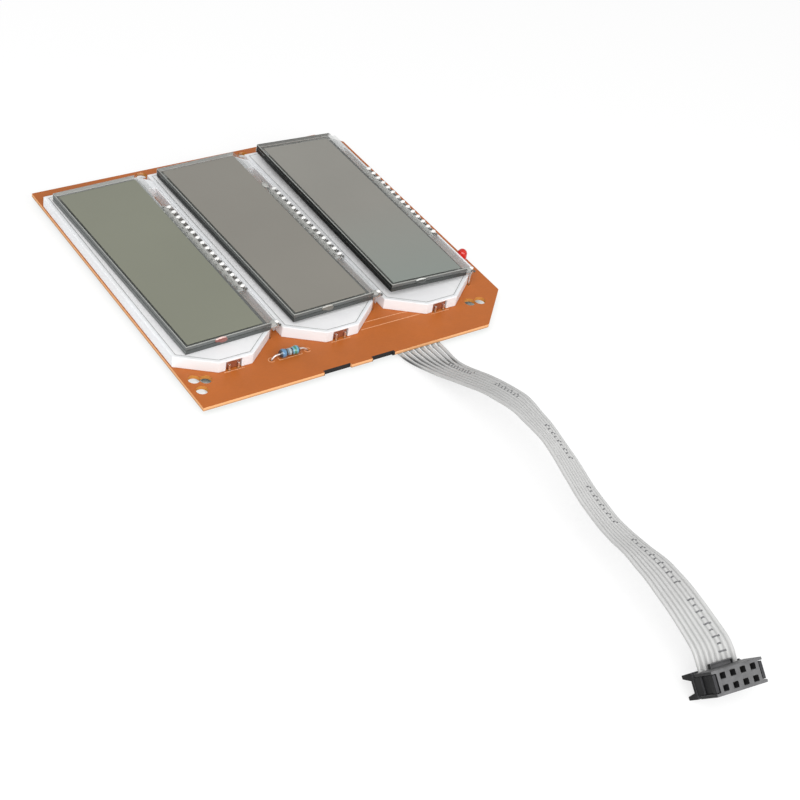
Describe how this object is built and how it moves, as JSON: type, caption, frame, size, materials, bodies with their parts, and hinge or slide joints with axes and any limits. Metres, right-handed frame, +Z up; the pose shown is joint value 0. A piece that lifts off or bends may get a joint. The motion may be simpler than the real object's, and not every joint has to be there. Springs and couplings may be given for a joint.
{
  "type": "lcd display panel",
  "caption": "Segment display panel: liquid crystal glasses on backlight cases over a phenolic board, with a flat ribbon lead and socket.",
  "frame": {"origin": "under the middle of the board, on the surface that the lead tails rest on", "axes": "+Z up out of the displays, +Y from the board's edge where the ribbon leaves towards its other edge, +X to the right with the ribbon's edge in front"},
  "size_m": [0.095, 0.2233, 0.0143],
  "materials": {
    "board": "phenolic paper laminate, semi-gloss, with a sawn edge",
    "case": "white moulded plastic",
    "light_guide": "clear acrylic",
    "diffuser": "white satin film",
    "lamp_clear": "clear epoxy",
    "lamp_red": "red tinted epoxy",
    "tinned_metal": "bright tin plate",
    "solder": "soft solder",
    "glass": "thin float glass",
    "polarizer": "grey-green polarizing film",
    "edge_seal": "epoxy seal",
    "fill_plug": "cured plug resin",
    "resistor": "blue lacquer with colour bands",
    "chip": "moulded black epoxy",
    "ribbon": "light grey soft plastic insulation",
    "socket": "dark grey moulded plastic",
    "contacts": "plated spring metal"
  },
  "bodies": {
    "root": {"circuit_board": "board", "left_backlight_case": "case", "left_light_guide": "light_guide", "left_diffuser_sheet": "diffuser", "left_backlight_lamp": "lamp_clear", "left_backlight_lamp_legs": "tinned_metal", "left_rear_polarizer": "polarizer", "left_lower_glass": "glass", "left_edge_seal": "edge_seal", "left_upper_glass": "glass", "left_front_polarizer": "polarizer", "left_fill_port_seal": "fill_plug", "left_contact_pins": "tinned_metal", "left_support_pin": "tinned_metal", "left_pin_solder": "solder", "middle_backlight_case": "case", "middle_light_guide": "light_guide", "middle_diffuser_sheet": "diffuser", "middle_backlight_lamp": "lamp_clear", "middle_backlight_lamp_legs": "tinned_metal", "middle_rear_polarizer": "polarizer", "middle_lower_glass": "glass", "middle_edge_seal": "edge_seal", "middle_upper_glass": "glass", "middle_front_polarizer": "polarizer", "middle_fill_port_seal": "fill_plug", "middle_contact_pins": "tinned_metal", "middle_support_pin": "tinned_metal", "middle_pin_solder": "solder", "right_backlight_case": "case", "right_light_guide": "light_guide", "right_diffuser_sheet": "diffuser", "right_backlight_lamp": "lamp_clear", "right_backlight_lamp_legs": "tinned_metal", "right_rear_polarizer": "polarizer", "right_lower_glass": "glass", "right_edge_seal": "edge_seal", "right_upper_glass": "glass", "right_front_polarizer": "polarizer", "right_fill_port_seal": "fill_plug", "right_contact_pins": "tinned_metal", "right_support_pin": "tinned_metal", "right_pin_solder": "solder", "backlight_lamp_solder": "solder", "resistor_body": "resistor", "resistor_leads": "tinned_metal", "status_lamp": "lamp_red", "status_lamp_leads": "tinned_metal", "resistor_and_lamp_solder": "solder", "driver_chip": "chip", "driver_chip_legs": "tinned_metal", "ribbon_wires": "ribbon", "ribbon_wire_solder": "solder", "ribbon_cable": "ribbon", "ribbon_clamped_end": "ribbon", "socket_body": "socket", "socket_contacts": "contacts", "socket_cap": "socket"}
  },
  "joints": []
}
